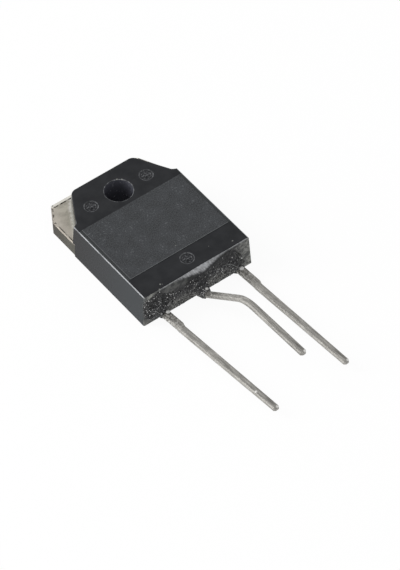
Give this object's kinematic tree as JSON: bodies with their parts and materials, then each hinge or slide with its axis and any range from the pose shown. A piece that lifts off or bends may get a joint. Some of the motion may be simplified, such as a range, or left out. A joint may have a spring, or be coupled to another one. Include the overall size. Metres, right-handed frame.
{
  "type": "power transistor",
  "caption": "Power transistor in a plastic moulded package with an insulated screw hole, a metal tab and flat formed leads.",
  "frame": {"origin": "on the axis of the mounting hole, in the plane of the back face", "axes": "+Z out of the marked face along the mounting hole, +Y from the leads towards the hole and the tab, +X across the package with the leads pointing to -Y"},
  "size_m": [0.0156, 0.0406, 0.007],
  "materials": {
    "moulding_epoxy": "gloss, with a matte marking panel",
    "tinned_copper": "dull tin plate",
    "solder": "satin",
    "silicon": "polished",
    "aluminium_wire": "drawn",
    "dried_residue": "rough, granular"
  },
  "bodies": {
    "root": {"moulded_body": "moulding_epoxy", "heat_spreader": "tinned_copper", "collector_lead": "tinned_copper", "base_lead": "tinned_copper", "emitter_lead": "tinned_copper", "chip_solder": "solder", "silicon_chip": "silicon", "base_wire": "aluminium_wire", "emitter_wire_1": "aluminium_wire", "emitter_wire_2": "aluminium_wire"}
  },
  "joints": []
}
